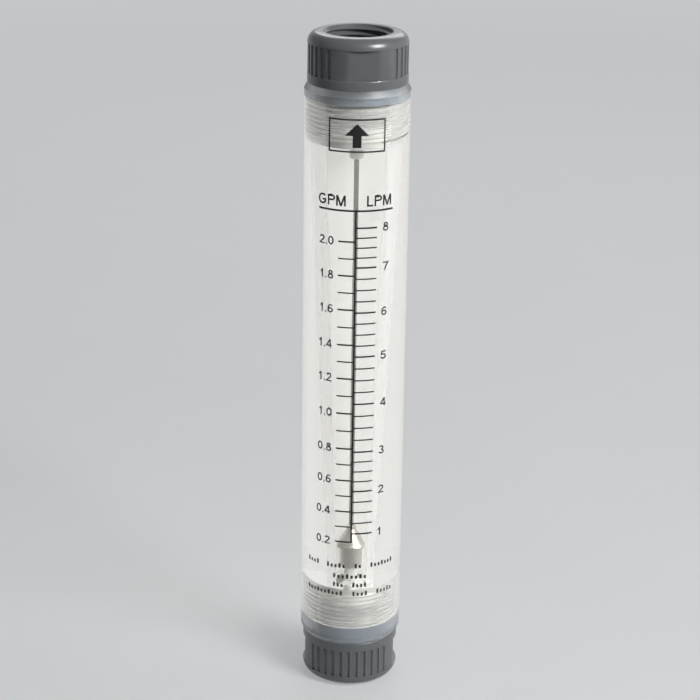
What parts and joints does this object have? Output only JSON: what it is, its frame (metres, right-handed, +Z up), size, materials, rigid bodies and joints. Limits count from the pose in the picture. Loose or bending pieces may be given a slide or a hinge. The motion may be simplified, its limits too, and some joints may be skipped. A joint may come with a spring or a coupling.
{
  "type": "rotameter",
  "caption": "Clear in-line variable-area flow meter: tapered tube, steel float on a guide rod, printed scale, grey end fittings with female pipe threads.",
  "frame": {"origin": "centre of the inlet fitting's end face, at the bottom of the meter", "axes": "+Z up along the tube's axis, in the flow's direction; the printed scale faces -Y"},
  "size_m": [0.033, 0.0331, 0.216],
  "materials": {
    "clear_acrylic": "polished clear acrylic",
    "grey_plastic": "moulded grey PVC, satin gloss",
    "white_plastic": "natural acetal",
    "seal_rubber": "smooth moulded rubber",
    "rod_steel": "ground stainless steel",
    "float_steel": "turned stainless steel",
    "black_ink": "screen-printed ink"
  },
  "bodies": {
    "meter": {"meter_tube": "clear_acrylic", "inlet_fitting": "grey_plastic", "outlet_fitting": "grey_plastic", "inlet_o_ring": "seal_rubber", "outlet_o_ring": "seal_rubber", "inlet_rod_holder": "white_plastic", "outlet_rod_holder": "white_plastic", "guide_rod": "rod_steel", "scale_axis": "black_ink", "lpm_scale": "black_ink", "gpm_scale": "black_ink", "flow_panel": "black_ink", "reading_note": "black_ink"},
    "float": {"float": "float_steel"}
  },
  "joints": [
    {"name": "float_slide", "type": "slide", "parent": "meter", "child": "float", "axis": [0, 0, 1], "range_m": [0, 0.1232]}
  ]
}
